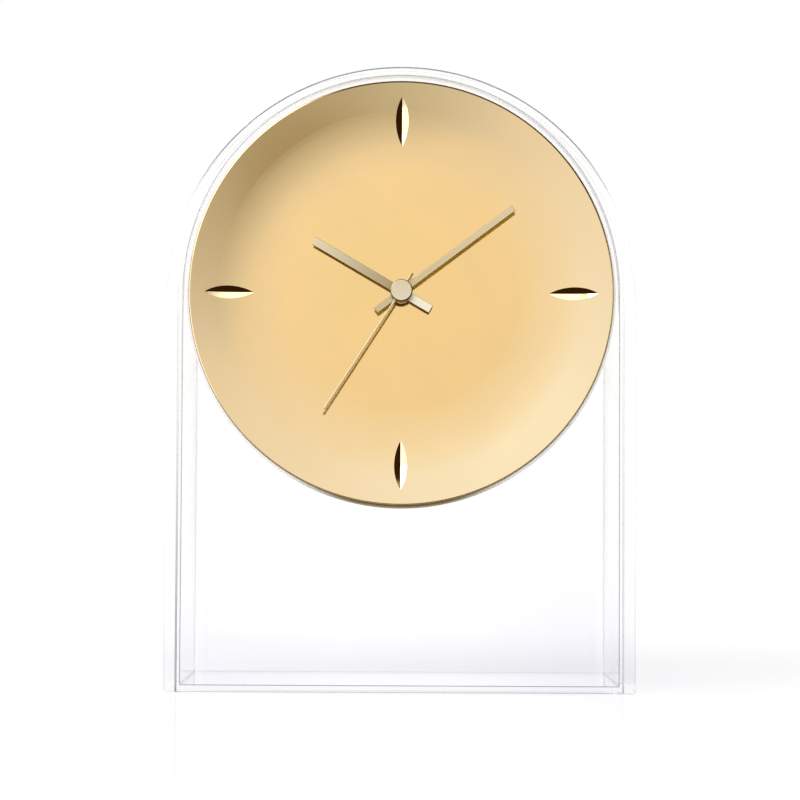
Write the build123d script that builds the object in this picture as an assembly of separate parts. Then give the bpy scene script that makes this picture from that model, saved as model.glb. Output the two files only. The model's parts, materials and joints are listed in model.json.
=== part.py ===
from build123d import *
import os
from math import asin, cos, hypot, radians, sin, sqrt, tan

# Arched table clock in clear acrylic, with a dished dial that floats in front of a quartz movement.
# Millimetres, +Z up, front towards -Y. The origin is on the table, midway between hub cap and rear wall.

# Clear case
CASE_W = 225.0
CASE_H = 300.0
CASE_D = 80.0
ARCH_SIDE = 5.95         # outer arch, thickness of a leg
ARCH_CROWN = 2.05        # outer arch, thickness at the top
BOND_GAP = 0.15          # glue line between clear pieces
TRAY_WALL = 2.0
TRAY_FLOOR = 3.6
TRAY_REAR = 2.5
TRAY_CORNER = 0.6        # inside corner between wall and floor
RIM_ROUND = 0.5          # polished edges of the clear pieces
FOOT_ROUND = 1.5         # outer foot of a leg

# Dial, from its flat middle through a curve to a straight rim that leans forward
DIAL_GAP = 2.5           # dial lip to case wall
DIAL_T = 3.0
DIAL_CURVE = 31.0        # width of the curve
DIAL_RIM = 13.9          # width of the straight rim
RIM_LEAN = 12.0          # degrees
RIM_SET = 1.0            # dial lip behind the front of the case
LIP_ROUND = 0.6
SKIRT_D = 10.0           # skirt behind the lip, wider towards the back
SKIRT_FLARE = 2.0
SKIRT_T = 2.0
MARKS = 4
MARK_L = 21.2            # on the tangent plane, as the curve makes the outline longer
MARK_W = 6.1
MARK_DEPTH = 1.6
MARK_EDGE = 8.0          # outer end of a mark to the dial lip

# Hands, lengths from the dial axis, angles clockwise from twelve
HOUR_L = 48.6
HOUR_TAIL = 16.4
HOUR_W = 4.1
HOUR_ANGLE = -59.8
MINUTE_L = 66.9
MINUTE_TAIL = 15.3
MINUTE_W = 3.2
MINUTE_ANGLE = 53.0
SECOND_L = 67.2
SECOND_TAIL = 10.0
SECOND_W = 1.1
SECOND_ANGLE = 212.8
HAND_T = 0.8
HAND_ROUND = 0.2
HAND_LIFT = 6.4          # dial centre to the middle of the hour hand
HAND_STEP = 3.6          # from one hand to the next
BOSS_WALL = 1.5          # boss of a hand around its pipe
BOSS_T = 1.6
CAP_D = 10.6
CAP_T = 2.2
CAP_ROUND = 0.6
CAP_SKIN = 0.8           # front wall of the cap over the arbor tip

# Drum that carries the dial
DRUM_WALL = 2.0
DRUM_CLEAR = 4.6         # corner of the movement to the drum wall
DRUM_FLANGE = 9.0
DRUM_FLANGE_T = 3.0
LUG_W = 14.0
LUG_T = 2.5
LUG_CLEAR = 3.5          # side of the movement to a lug
SCREWS = 4
SCREW_R = 1.4
SCREW_HEAD_R = 2.8
SCREW_HEAD_T = 1.8
SCREW_BITE = 3.0         # thread length in the drum
DIAL_BITE = 2.0          # thread length in the dial
SCREW_CLEAR = 0.1
RECESS_W = 0.7
RECESS_L = 3.0
RECESS_T = 0.9

# Centre stack
SECOND_ARBOR_R = 0.5
PIPE_WALL = 0.65
BUSH_WALL = 1.4
BUSH_FLANGE = 2.0
BUSH_FLANGE_T = 0.8
RUN = 0.05               # radial clearance of a running fit
FIT = 0.02               # radial clearance of a pressed fit
END_PLAY = 0.1           # axial clearance of a turning piece
RUBBER_T = 1.0
RUBBER_W = 5.0
WASHER_T = 0.4
NUT_T = 2.2
NUT_WALL = 1.5
NUT_SLOT_W = 1.2
NUT_SLOT_T = 0.8

# Battery and movement shells
BATT_D = 14.5
BATT_L = 50.5
NUB_D = 5.5
NUB_L = 1.3
BATT_ROUND = 0.6
BATT_GAP = 0.1
BATT_SINK = 0.4          # battery under the rear face of the movement
CONTACT_T = 0.4
CONTACT_GAP = 0.05
CONTACT_H = 9.0
SPRING_L = 2.7
SPRING_H = 6.0
MV_WALL = 1.2
MV_PLATE = 1.5
MV_ROUND = 3.0
MV_SPLIT = 8.0           # depth of the front shell
BAY_CLEAR = 2.8          # wheels to the wall of the battery bay
SLOT_W = 1.0             # way for the contact strips past that wall

# Wheels, with the distances between arbors and their directions in the dial plane
ROTOR_TEETH = 12
INTER_TEETH = 60
INTER_PINION_TEETH = 10
SECONDS_TEETH = 60
SECONDS_PINION_TEETH = 8
THIRD_TEETH = 60
THIRD_PINION_TEETH = 8
CENTRE_TEETH = 64
CANNON_TEETH = 12
MOTION_TEETH = 36
MOTION_PINION_TEETH = 10
HOUR_TEETH = 40
SETTING_TEETH = 18
THIRD_DIST = 9.0
INTER_DIST = 9.1
ROTOR_DIST = 7.92
MOTION_DIST = 8.4
THIRD_DIR = 180.0
INTER_DIR = 110.0
ROTOR_DIR = 130.0
MOTION_DIR = 45.0
TOOTH_TIP = 0.85         # in modules past the pitch circle
TOOTH_ROOT = 1.15        # in modules inside the pitch circle
TIP_SHARE = 0.22         # share of the tooth pitch that a tooth covers at its tip
ROOT_SHARE = 0.54        # and at its root
WHEEL_T = 0.8
PINION_OVER = 0.2        # pinion past each face of the wheel in mesh with it
LEVEL = 1.7              # from one wheel to the next along the axis
WHEEL_CLEAR = 0.4
HUB_R = 2.2
ARBOR_R = 0.4
PIVOT_R = 0.3
PIVOT_L = 0.8
PLATE_T = 0.6
PLATE_EDGE = 2.2         # train plate past its outermost arbors
POST_R = 1.2
POST_INSET = 1.5
MOTION_POST_R = 0.6
SETTING_R = 1.0
KNOB_R = 6.5
KNOB_T = 4.2
KNOB_GAP = 0.4
KNOB_FLUTES = 24
FLUTE_R = 0.45

# Motor and circuit
MAGNET_R = 2.4
MAGNET_T = 2.0
MAGNET_GAP = 0.4
STATOR_T = 1.6
STATOR_BRIDGE = 0.4      # stator above the rotor hole
STATOR_LIP = 1.2         # stator below the rotor hole
STATOR_LIFT = 0.9        # stator behind the train plate
LEG_W = 3.0
CORE_H = 2.0
CORE_L = 29.5
CORE_LEFT = 16.3         # core past the rotor on the left
CORE_GAP = 0.1
BOBBIN_WALL = 0.5
WINDING_T = 2.4
FLANGE_T = 0.6
FLANGE_OVER = 0.3        # bobbin flange past the winding
COIL_GAP = 0.2
BOARD_T = 1.0
BOARD_EDGE = 0.9         # setting gear to the circuit board
BOARD_LIFT = 8.5         # circuit board above the front plate
BOARD_GAP = 0.1
CHIP_R = 3.2
CHIP_T = 1.2
CHIP_ROUND = 0.5
CRYSTAL_R = 1.5
CRYSTAL_L = 8.0
CRYSTAL_ROUND = 0.4


def polar(distance, direction):
    return distance * cos(radians(direction)), distance * sin(radians(direction))


def beyond(start, distance, direction):
    """The point that lies at a distance and a direction from another."""
    step_x, step_z = polar(distance, direction)
    return start[0] + step_x, start[1] + step_z


def module_of(distance, teeth, mate_teeth):
    return 2 * distance / (teeth + mate_teeth)


def tip_radius(teeth, module):
    return module * (teeth / 2 + TOOTH_TIP)


# Case arches
ARCH_R = CASE_W / 2
ARCH_Z = CASE_H - ARCH_R
TRAY_R = ARCH_R - ARCH_SIDE - BOND_GAP
TRAY_IN_R = TRAY_R - TRAY_WALL
DIAL_Z = CASE_H - ARCH_CROWN - BOND_GAP - TRAY_R

# Dial section, as radii from the dial axis and heights in front of the flat middle
LEAN = radians(RIM_LEAN)
DIAL_R = TRAY_IN_R - DIAL_GAP
RIM_R = DIAL_R - DIAL_RIM
FLAT_R = RIM_R - DIAL_CURVE
CURVE_R = DIAL_CURVE / sin(LEAN)
DIAL_RISE = CURVE_R * (1 - cos(LEAN)) + DIAL_RIM * tan(LEAN)
MARK_R = DIAL_R - MARK_EDGE - MARK_L / 2

# Planes of the case and the dial, front to back
CAP_RISE = HAND_LIFT + 2 * HAND_STEP + BOSS_T / 2 + CAP_T
HUB_OUT = CAP_RISE - DIAL_RISE - RIM_SET
FRONT = (HUB_OUT - CASE_D) / 2
BACK = FRONT + CASE_D
REAR_IN = BACK - TRAY_REAR
DIAL_Y = FRONT + RIM_SET + DIAL_RISE
SEAT_Y = DIAL_Y + DIAL_T

# Pipes on the dial axis from the inside out, and the hands on them
MINUTE_IN_R = SECOND_ARBOR_R + RUN
MINUTE_PIPE_R = MINUTE_IN_R + PIPE_WALL
HOUR_IN_R = MINUTE_PIPE_R + RUN
HOUR_PIPE_R = HOUR_IN_R + PIPE_WALL
BUSH_IN_R = HOUR_PIPE_R + RUN
BUSH_R = BUSH_IN_R + BUSH_WALL
BUSH_FLANGE_R = BUSH_R + BUSH_FLANGE
NUT_R = BUSH_R + NUT_WALL
NUT_Y = DIAL_Y - WASHER_T - NUT_T
HOUR_HAND_Y = DIAL_Y - HAND_LIFT
MINUTE_HAND_Y = HOUR_HAND_Y - HAND_STEP
SECOND_HAND_Y = MINUTE_HAND_Y - HAND_STEP
CAP_Y = SECOND_HAND_Y - BOSS_T / 2
ARBOR_TIP_Y = CAP_Y - CAP_T + CAP_SKIN + FIT

# Movement planes and wheel levels, front to back
MV_Y = SEAT_Y + RUBBER_T
MV_IN = MV_Y + MV_PLATE
MV_JOIN = MV_Y + MV_SPLIT
MV_BACK = MV_IN + BATT_GAP + BATT_D + BATT_SINK
MV_REAR_IN = MV_BACK - MV_PLATE
HOUR_Y = MV_IN + WHEEL_CLEAR
MOTION_Y = HOUR_Y + LEVEL
CENTRE_Y = MOTION_Y + LEVEL
PLATE_Y = CENTRE_Y + WHEEL_T + WHEEL_CLEAR
PLATE_BACK = PLATE_Y + PLATE_T
THIRD_Y = PLATE_BACK + WHEEL_CLEAR
SECONDS_Y = THIRD_Y + LEVEL
INTER_Y = SECONDS_Y + LEVEL
STATOR_Y = PLATE_BACK + STATOR_LIFT
CORE_Y = STATOR_Y + STATOR_T
COIL_Y = CORE_Y + STATOR_T / 2
BOARD_Y = MV_IN + BOARD_LIFT

# Tooth sizes, and arbors in the dial plane as (x, z) from the dial axis
THIRD_MODULE = module_of(THIRD_DIST, THIRD_TEETH, SECONDS_PINION_TEETH)
CENTRE_MODULE = module_of(THIRD_DIST, CENTRE_TEETH, THIRD_PINION_TEETH)
SECONDS_MODULE = module_of(INTER_DIST, SECONDS_TEETH, INTER_PINION_TEETH)
INTER_MODULE = module_of(ROTOR_DIST, INTER_TEETH, ROTOR_TEETH)
MOTION_MODULE = module_of(MOTION_DIST, MOTION_TEETH, CANNON_TEETH)
HOUR_MODULE = module_of(MOTION_DIST, HOUR_TEETH, MOTION_PINION_TEETH)
SETTING_DIST = MOTION_MODULE * (MOTION_TEETH + SETTING_TEETH) / 2
AXIS = (0.0, 0.0)
THIRD = polar(THIRD_DIST, THIRD_DIR)
INTER = polar(INTER_DIST, INTER_DIR)
ROTOR = beyond(INTER, ROTOR_DIST, ROTOR_DIR)
MOTION = polar(MOTION_DIST, MOTION_DIR)
SETTING = beyond(MOTION, SETTING_DIST, MOTION_DIR)

# Motor, coil and circuit board, x to the right and z up from the dial axis
HOLE_R = MAGNET_R + MAGNET_GAP
STATOR_TOP = ROTOR[1] + HOLE_R + STATOR_BRIDGE
STATOR_FOOT = ROTOR[1] - HOLE_R - STATOR_LIP
TUBE_H = CORE_H / 2 + CORE_GAP + BOBBIN_WALL
TUBE_T = STATOR_T / 2 + CORE_GAP + BOBBIN_WALL
COIL_H = TUBE_H + WINDING_T
COIL_T = TUBE_T + WINDING_T
COIL_Z = STATOR_TOP + COIL_GAP + COIL_H + FLANGE_OVER
CORE_X0 = ROTOR[0] - CORE_LEFT
CORE_X1 = CORE_X0 + CORE_L
BOBBIN_X0 = CORE_X0 + LEG_W + COIL_GAP
BOBBIN_X1 = CORE_X1 - LEG_W - COIL_GAP

# Battery bay and outline of the movement
BAY_HALF = (SPRING_L + BATT_L + 2 * CONTACT_GAP + CONTACT_T) / 2
CENTRE_TIP = tip_radius(CENTRE_TEETH, CENTRE_MODULE)
BAY_WALL_Z = -CENTRE_TIP - BAY_CLEAR
BAY_TOP = BAY_WALL_Z - MV_WALL
BATT_Z = BAY_TOP - BATT_GAP - BATT_D / 2
BATT_Y = MV_IN + BATT_GAP + BATT_D / 2
BATT_X1 = BAY_HALF - CONTACT_T - CONTACT_GAP
BAY_FOOT = BATT_Z - BATT_D / 2 - BATT_GAP
MV_HALF = BAY_HALF + MV_WALL
MV_TOP = COIL_Z + COIL_H + FLANGE_OVER + COIL_GAP + MV_WALL
MV_FOOT = BAY_FOOT - MV_WALL
MV_REACH = max(MV_HALF, MV_TOP, -MV_FOOT)
BOARD_X0 = SETTING[0] + tip_radius(SETTING_TEETH, MOTION_MODULE) + BOARD_EDGE
BOARD_X1 = BAY_HALF - CONTACT_T - BOARD_GAP
BOARD_X = (BOARD_X0 + BOARD_X1) / 2
BOARD_Z0 = BAY_WALL_Z + CONTACT_T + 2 * BOARD_GAP
BOARD_Z1 = MV_TOP - MV_WALL - BOARD_EDGE
PLATE_X0 = THIRD[0] - tip_radius(THIRD_TEETH, THIRD_MODULE)
PLATE_X1 = SETTING[0] + SETTING_R + PLATE_EDGE
PLATE_Z0 = -CENTRE_TIP
PLATE_Z1 = ROTOR[1] + PLATE_EDGE

# Drum and screws
DRUM_IN_R = hypot(MV_HALF, MV_REACH) - (sqrt(2) - 1) * MV_ROUND + DRUM_CLEAR
DRUM_R = DRUM_IN_R + DRUM_WALL
LUG_IN_R = MV_REACH + LUG_CLEAR
LUG_SCREW_R = (LUG_IN_R + DRUM_IN_R) / 2
CASE_SCREW_R = DRUM_R + DRUM_FLANGE / 2
CASE_SCREW_TURN = 45.0


def slab(sketch, front, back):
    """Solid of a sketch drawn in X and Z, from Y = front to Y = back."""
    return extrude(Plane.XZ.offset(-back) * sketch, amount=back - front)


def disc(radius, front, back, centre=AXIS):
    return slab(Pos(*centre) * Circle(radius), front, back)


def bar(x0, x1, z0, z1, front, back):
    middle = Pos((x0 + x1) / 2, (z0 + z1) / 2)
    return slab(middle * Rectangle(x1 - x0, z1 - z0), front, back)


def turned(*points):
    """Solid turned on the Y axis from an outline of (radius, y) points."""
    return revolve(make_face(Polyline(*points, close=True)), Axis.Y)


def around(shape, count, start=0.0):
    """Copies of a solid spaced evenly around the dial axis."""
    return [Rot(0, start + 360 * step / count, 0) * shape for step in range(count)]


def toothed(teeth, module, phase):
    """Outline of a wheel that has one tooth centred on the direction phase."""
    tip = tip_radius(teeth, module)
    root = module * (teeth / 2 - TOOTH_ROOT)
    corners = ((root, -ROOT_SHARE), (tip, -TIP_SHARE), (tip, TIP_SHARE), (root, ROOT_SHARE))
    points = []
    for tooth in range(teeth):
        for radius, share in corners:
            points.append(polar(radius, phase + 360 / teeth * (tooth + share / 2)))
    return make_face(Polyline(*points, close=True))


def gear(teeth, module, phase, front, back, centre=AXIS):
    return slab(Pos(*centre) * toothed(teeth, module, phase), front, back)


def pinion(teeth, module, phase, wheel_y, centre=AXIS):
    """Pinion in mesh with a wheel whose front face is at wheel_y."""
    front = wheel_y - PINION_OVER
    back = wheel_y + WHEEL_T + PINION_OVER
    return gear(teeth, module, phase, front, back, centre)


def mate_phase(phase, teeth, mate_teeth, direction):
    """Phase of the mate in a direction, with its gaps over the teeth of the first wheel."""
    turn = teeth * (phase - direction) / 360
    return direction + 180 + 360 / mate_teeth * (0.5 - turn)


def arbor(front, back, centre):
    """Arbor between two plates, with a pivot at each end."""
    shaft = disc(ARBOR_R, front + END_PLAY, back - END_PLAY, centre)
    pivots = disc(PIVOT_R, front + END_PLAY - PIVOT_L, back - END_PLAY + PIVOT_L, centre)
    return shaft + pivots


def arch_outline(half_width, crown_z, foot_z):
    """Upright outline with a half-round top."""
    return make_face([
        Line((-half_width, crown_z), (-half_width, foot_z)),
        Line((-half_width, foot_z), (half_width, foot_z)),
        Line((half_width, foot_z), (half_width, crown_z)),
        ThreePointArc((half_width, crown_z), (0, crown_z + half_width), (-half_width, crown_z)),
    ])


def rounded_feet(outline, radius):
    return fillet(outline.vertices().group_by(Axis.Y)[0], radius)


def end_edges(shape, front=True, back=True):
    """Edges of the flat faces at the front and the back of a clear piece."""
    faces = shape.faces().sort_by(Axis.Y)
    chosen = [faces[0]] if front else []
    if back:
        chosen.append(faces[-1])
    return [edge for face in chosen for edge in face.edges()]


def outer_arch():
    outside = slab(rounded_feet(arch_outline(ARCH_R, ARCH_Z, 0), FOOT_ROUND), FRONT, BACK)
    hollow_r = TRAY_R + BOND_GAP
    hollow = slab(arch_outline(hollow_r, DIAL_Z, -TRAY_FLOOR), FRONT - RIM_ROUND, BACK + RIM_ROUND)
    arch = outside - hollow
    return fillet(end_edges(arch), RIM_ROUND)


def case_screw_hole():
    """Countersunk hole through the rear wall."""
    radius = SCREW_R + SCREW_CLEAR
    head_r = SCREW_HEAD_R + SCREW_CLEAR
    neck = BACK - SCREW_HEAD_T
    hole = turned((0, REAR_IN), (radius, REAR_IN), (radius, neck), (head_r, BACK), (0, BACK))
    return Pos(0, 0, CASE_SCREW_R) * hole


def inner_case():
    outside = slab(arch_outline(TRAY_R, DIAL_Z, 0), FRONT, BACK)
    inside = rounded_feet(arch_outline(TRAY_IN_R, DIAL_Z, TRAY_FLOOR), TRAY_CORNER)
    tray = outside - slab(inside, FRONT, REAR_IN)
    tray = fillet(end_edges(tray), RIM_ROUND)
    access = disc(DRUM_IN_R, REAR_IN, BACK, (0, DIAL_Z))
    holes = [Pos(0, 0, DIAL_Z) * hole for hole in around(case_screw_hole(), SCREWS, CASE_SCREW_TURN)]
    return tray - [access, *holes]


def on_curve(tilt, behind=0.0):
    """Point of the dial curve as (radius, y) where the dial leans by tilt."""
    reach = CURVE_R + behind
    return FLAT_R + reach * sin(tilt), DIAL_Y - CURVE_R + reach * cos(tilt)


def mark_cutter():
    """Lens-shaped groove with a V section, where two cones meet, at twelve o'clock."""
    half_w = MARK_W / 2
    side_r = ((MARK_L / 2) ** 2 + half_w ** 2) / MARK_W
    reach = 1.5
    low_r = side_r - reach * half_w
    high_r = side_r + reach * half_w
    cone = Cone(low_r, high_r, 2 * reach * MARK_DEPTH)
    aside = side_r - half_w
    lens = (Pos(0, aside, 0) * cone) & (Pos(0, -aside, 0) * cone)
    tilt = asin((MARK_R - FLAT_R) / CURVE_R)
    outward = (0, -sin(tilt), cos(tilt))
    normal = (0, -cos(tilt), -sin(tilt))
    seat = Plane(origin=(0, on_curve(tilt)[1], MARK_R), x_dir=outward, z_dir=normal)
    return seat * lens


def dial_dish():
    bore_r = BUSH_R + SCREW_CLEAR
    lip = (DIAL_R, DIAL_Y - DIAL_RISE)
    rim_back = (DIAL_R, lip[1] + DIAL_T / cos(LEAN))
    plate = make_face([
        Line((bore_r, DIAL_Y), (FLAT_R, DIAL_Y)),
        ThreePointArc((FLAT_R, DIAL_Y), on_curve(LEAN / 2), on_curve(LEAN)),
        Line(on_curve(LEAN), lip),
        Line(lip, rim_back),
        Line(rim_back, on_curve(LEAN, DIAL_T)),
        ThreePointArc(on_curve(LEAN, DIAL_T), on_curve(LEAN / 2, DIAL_T), (FLAT_R, SEAT_Y)),
        Line((FLAT_R, SEAT_Y), (bore_r, SEAT_Y)),
        Line((bore_r, SEAT_Y), (bore_r, DIAL_Y)),
    ])
    skirt_r = DIAL_R + SKIRT_FLARE
    skirt_y = lip[1] + SKIRT_D
    skirt = make_face(Polyline(
        lip, (skirt_r, skirt_y), (skirt_r - SKIRT_T, skirt_y), (DIAL_R - SKIRT_T, lip[1] + DIAL_T / 2), close=True
    ))
    outline = plate + skirt
    outline = fillet(outline.vertices().sort_by(Axis.Y)[0], LIP_ROUND)
    between_marks = 180 / MARKS
    dish = Rot(0, between_marks, 0) * revolve(outline, Axis.Y)
    hole = disc(SCREW_R + FIT, SEAT_Y - DIAL_BITE - SCREW_CLEAR, SEAT_Y, (0, LUG_SCREW_R))
    return dish - around(mark_cutter(), MARKS) - around(hole, SCREWS)


def movement_drum():
    tube = disc(DRUM_R, SEAT_Y, REAR_IN) + disc(DRUM_R + DRUM_FLANGE, REAR_IN - DRUM_FLANGE_T, REAR_IN)
    tube -= disc(DRUM_IN_R, SEAT_Y, REAR_IN)
    lug = bar(-LUG_W / 2, LUG_W / 2, LUG_IN_R, DRUM_IN_R + DRUM_WALL / 2, SEAT_Y, SEAT_Y + LUG_T)
    lug -= disc(SCREW_R + SCREW_CLEAR, SEAT_Y, SEAT_Y + LUG_T, (0, LUG_SCREW_R))
    flange_hole = disc(SCREW_R + FIT, REAR_IN - DRUM_FLANGE_T, REAR_IN, (0, CASE_SCREW_R))
    return tube + around(lug, SCREWS) - around(flange_hole, SCREWS, CASE_SCREW_TURN)


def cross_recess(back):
    """Cross in a screw head whose top is at Y = back."""
    long = RECESS_L / 2
    short = RECESS_W / 2
    front = back - RECESS_T
    return bar(-long, long, -short, short, front, back) + bar(-short, short, -long, long, front, back)


def dial_screws():
    head_y = SEAT_Y + LUG_T
    back = head_y + SCREW_HEAD_T
    screw = disc(SCREW_R, SEAT_Y - DIAL_BITE, head_y) + disc(SCREW_HEAD_R, head_y, back)
    screw -= cross_recess(back)
    return Compound(around(Pos(0, 0, LUG_SCREW_R) * screw, SCREWS))


def case_screws():
    tip = REAR_IN - SCREW_BITE
    neck = BACK - SCREW_HEAD_T
    screw = turned((0, tip), (SCREW_R, tip), (SCREW_R, neck), (SCREW_HEAD_R, BACK), (0, BACK))
    screw -= cross_recess(BACK)
    return Compound(around(Pos(0, 0, CASE_SCREW_R) * screw, SCREWS, CASE_SCREW_TURN))


def movement_block(front, back, inset=0.0):
    outline = RectangleRounded(
        2 * (MV_HALF - inset), MV_TOP - MV_FOOT - 2 * inset, MV_ROUND - inset
    )
    return slab(Pos(0, (MV_TOP + MV_FOOT) / 2) * outline, front, back)


def posts():
    """Posts of the front shell that carry the train plate, the stator and the circuit board."""
    left = PLATE_X0 + POST_INSET
    right = PLATE_X1 - POST_INSET
    low = PLATE_Z0 + POST_INSET
    high = PLATE_Z1 - POST_INSET
    leg_z = STATOR_TOP + POST_INSET
    tops = {
        (left, low): PLATE_Y,
        (right, low): PLATE_Y,
        (left, high): PLATE_Y,
        (CORE_X0 + LEG_W / 2, leg_z): STATOR_Y,
        (CORE_X1 - LEG_W / 2, leg_z): STATOR_Y,
        (BOARD_X, BOARD_Z0 + POST_INSET): BOARD_Y,
        (BOARD_X, BOARD_Z1 - POST_INSET): BOARD_Y,
    }
    return [disc(POST_R, MV_Y + MV_PLATE / 2, top, centre) for centre, top in tops.items()]


def movement_front_shell():
    shell = movement_block(MV_Y, MV_JOIN) - movement_block(MV_IN, MV_JOIN, MV_WALL)
    bay_wall = bar(
        SLOT_W - BAY_HALF, BAY_HALF - SLOT_W, BAY_TOP, BAY_WALL_Z,
        MV_Y + MV_PLATE / 2, MV_REAR_IN - END_PLAY
    )
    motion_post = disc(
        MOTION_POST_R, MV_Y + MV_PLATE / 2, MOTION_Y + WHEEL_T + PINION_OVER, MOTION
    )
    shell = shell + bay_wall + motion_post + posts()
    pivot_holes = [disc(PIVOT_R + RUN, MV_IN - PIVOT_L, MV_IN, place) for place in (THIRD, SETTING)]
    bush_hole = disc(BUSH_R + FIT, MV_Y, MV_IN)
    flange_seat = disc(BUSH_FLANGE_R + FIT, MV_IN - BUSH_FLANGE_T, MV_IN)
    return shell - [*pivot_holes, bush_hole, flange_seat]


def movement_rear_shell():
    shell = movement_block(MV_JOIN, MV_BACK) - movement_block(MV_JOIN, MV_REAR_IN, MV_WALL)
    bay = bar(-BAY_HALF, BAY_HALF, BAY_FOOT, BAY_TOP, MV_REAR_IN, MV_BACK)
    knob_hole = disc(SETTING_R + RUN, MV_REAR_IN, MV_BACK, SETTING)
    places = (AXIS, THIRD, INTER, ROTOR)
    pivot_holes = [disc(PIVOT_R + RUN, MV_REAR_IN, MV_REAR_IN + PIVOT_L, place) for place in places]
    return shell - [bay, knob_hole, *pivot_holes]


def threaded_bushing():
    front = NUT_Y - FIT
    shoulder = MV_IN - BUSH_FLANGE_T
    return turned(
        (BUSH_IN_R, front),
        (BUSH_R, front),
        (BUSH_R, shoulder),
        (BUSH_FLANGE_R, shoulder),
        (BUSH_FLANGE_R, MV_IN),
        (BUSH_IN_R, MV_IN),
    )


def hand_nut():
    nut = disc(NUT_R, NUT_Y, NUT_Y + NUT_T) - disc(BUSH_R + FIT, NUT_Y, NUT_Y + NUT_T)
    slot = bar(-NUT_R, NUT_R, -NUT_SLOT_W / 2, NUT_SLOT_W / 2, NUT_Y, NUT_Y + NUT_SLOT_T)
    return nut - slot


def nut_washer():
    front = DIAL_Y - WASHER_T
    return disc(NUT_R, front, DIAL_Y) - disc(BUSH_R + FIT, front, DIAL_Y)


def rubber_washer():
    bore_r = BUSH_R + SCREW_CLEAR
    return disc(bore_r + RUBBER_W, SEAT_Y, MV_Y) - disc(bore_r, SEAT_Y, MV_Y)


def train_plate():
    plate = bar(PLATE_X0, PLATE_X1, PLATE_Z0, PLATE_Z1, PLATE_Y, PLATE_BACK)
    holes = {
        AXIS: SECOND_ARBOR_R,
        THIRD: ARBOR_R,
        INTER: PIVOT_R,
        ROTOR: PIVOT_R,
        SETTING: SETTING_R,
    }
    return plate - [disc(radius + RUN, PLATE_Y, PLATE_BACK, place) for place, radius in holes.items()]


def rotor():
    phase = mate_phase(0, INTER_TEETH, ROTOR_TEETH, ROTOR_DIR)
    magnet_y = STATOR_Y + STATOR_T / 2 - MAGNET_T / 2
    magnet = disc(MAGNET_R, magnet_y, magnet_y + MAGNET_T, ROTOR)
    leaves = pinion(ROTOR_TEETH, INTER_MODULE, phase, INTER_Y, ROTOR)
    return arbor(PLATE_BACK, MV_REAR_IN, ROTOR) + magnet + leaves


def intermediate_wheel():
    phase = mate_phase(0, SECONDS_TEETH, INTER_PINION_TEETH, INTER_DIR)
    wheel = gear(INTER_TEETH, INTER_MODULE, 0, INTER_Y, INTER_Y + WHEEL_T, INTER)
    leaves = pinion(INTER_PINION_TEETH, SECONDS_MODULE, phase, SECONDS_Y, INTER)
    return arbor(PLATE_BACK, MV_REAR_IN, INTER) + wheel + leaves


def seconds_wheel():
    shaft = disc(SECOND_ARBOR_R, ARBOR_TIP_Y, MV_REAR_IN - END_PLAY)
    pivot = disc(PIVOT_R, SECONDS_Y, MV_REAR_IN - END_PLAY + PIVOT_L)
    wheel = gear(SECONDS_TEETH, SECONDS_MODULE, 0, SECONDS_Y, SECONDS_Y + WHEEL_T)
    return shaft + pivot + wheel + pinion(SECONDS_PINION_TEETH, THIRD_MODULE, 0, THIRD_Y)


def third_wheel():
    phase = mate_phase(0, SECONDS_PINION_TEETH, THIRD_TEETH, THIRD_DIR)
    wheel = gear(THIRD_TEETH, THIRD_MODULE, phase, THIRD_Y, THIRD_Y + WHEEL_T, THIRD)
    leaves = pinion(THIRD_PINION_TEETH, CENTRE_MODULE, 0, CENTRE_Y, THIRD)
    return arbor(MV_IN, MV_REAR_IN, THIRD) + wheel + leaves


def centre_wheel():
    """Wheel that grips the minute pipe as a friction clutch."""
    phase = mate_phase(0, THIRD_PINION_TEETH, CENTRE_TEETH, THIRD_DIR + 180)
    hub_front = MOTION_Y + WHEEL_T + PINION_OVER + END_PLAY
    hub_back = PLATE_Y - END_PLAY
    wheel = gear(CENTRE_TEETH, CENTRE_MODULE, phase, CENTRE_Y, CENTRE_Y + WHEEL_T)
    return wheel + disc(HUB_R, hub_front, hub_back) - disc(MINUTE_PIPE_R + RUN, hub_front, hub_back)


def minute_pipe():
    front = MINUTE_HAND_Y - BOSS_T / 2
    back = CENTRE_Y + WHEEL_T + PINION_OVER
    pipe = disc(MINUTE_PIPE_R, front, back) + pinion(CANNON_TEETH, MOTION_MODULE, 0, MOTION_Y)
    return pipe - disc(MINUTE_IN_R, front, back)


def motion_wheel_phase():
    return mate_phase(0, CANNON_TEETH, MOTION_TEETH, MOTION_DIR)


def motion_wheel():
    front = HOUR_Y - PINION_OVER
    back = MOTION_Y + WHEEL_T
    wheel = gear(MOTION_TEETH, MOTION_MODULE, motion_wheel_phase(), MOTION_Y, back, MOTION)
    leaves = gear(MOTION_PINION_TEETH, HOUR_MODULE, 0, front, MOTION_Y, MOTION)
    return wheel + leaves - disc(MOTION_POST_R + RUN, front, back, MOTION)


def hour_wheel():
    phase = mate_phase(0, MOTION_PINION_TEETH, HOUR_TEETH, MOTION_DIR + 180)
    front = HOUR_HAND_Y - BOSS_T / 2
    back = HOUR_Y + WHEEL_T
    wheel = gear(HOUR_TEETH, HOUR_MODULE, phase, HOUR_Y, back)
    return wheel + disc(HOUR_PIPE_R, front, back) - disc(HOUR_IN_R, front, back)


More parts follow.
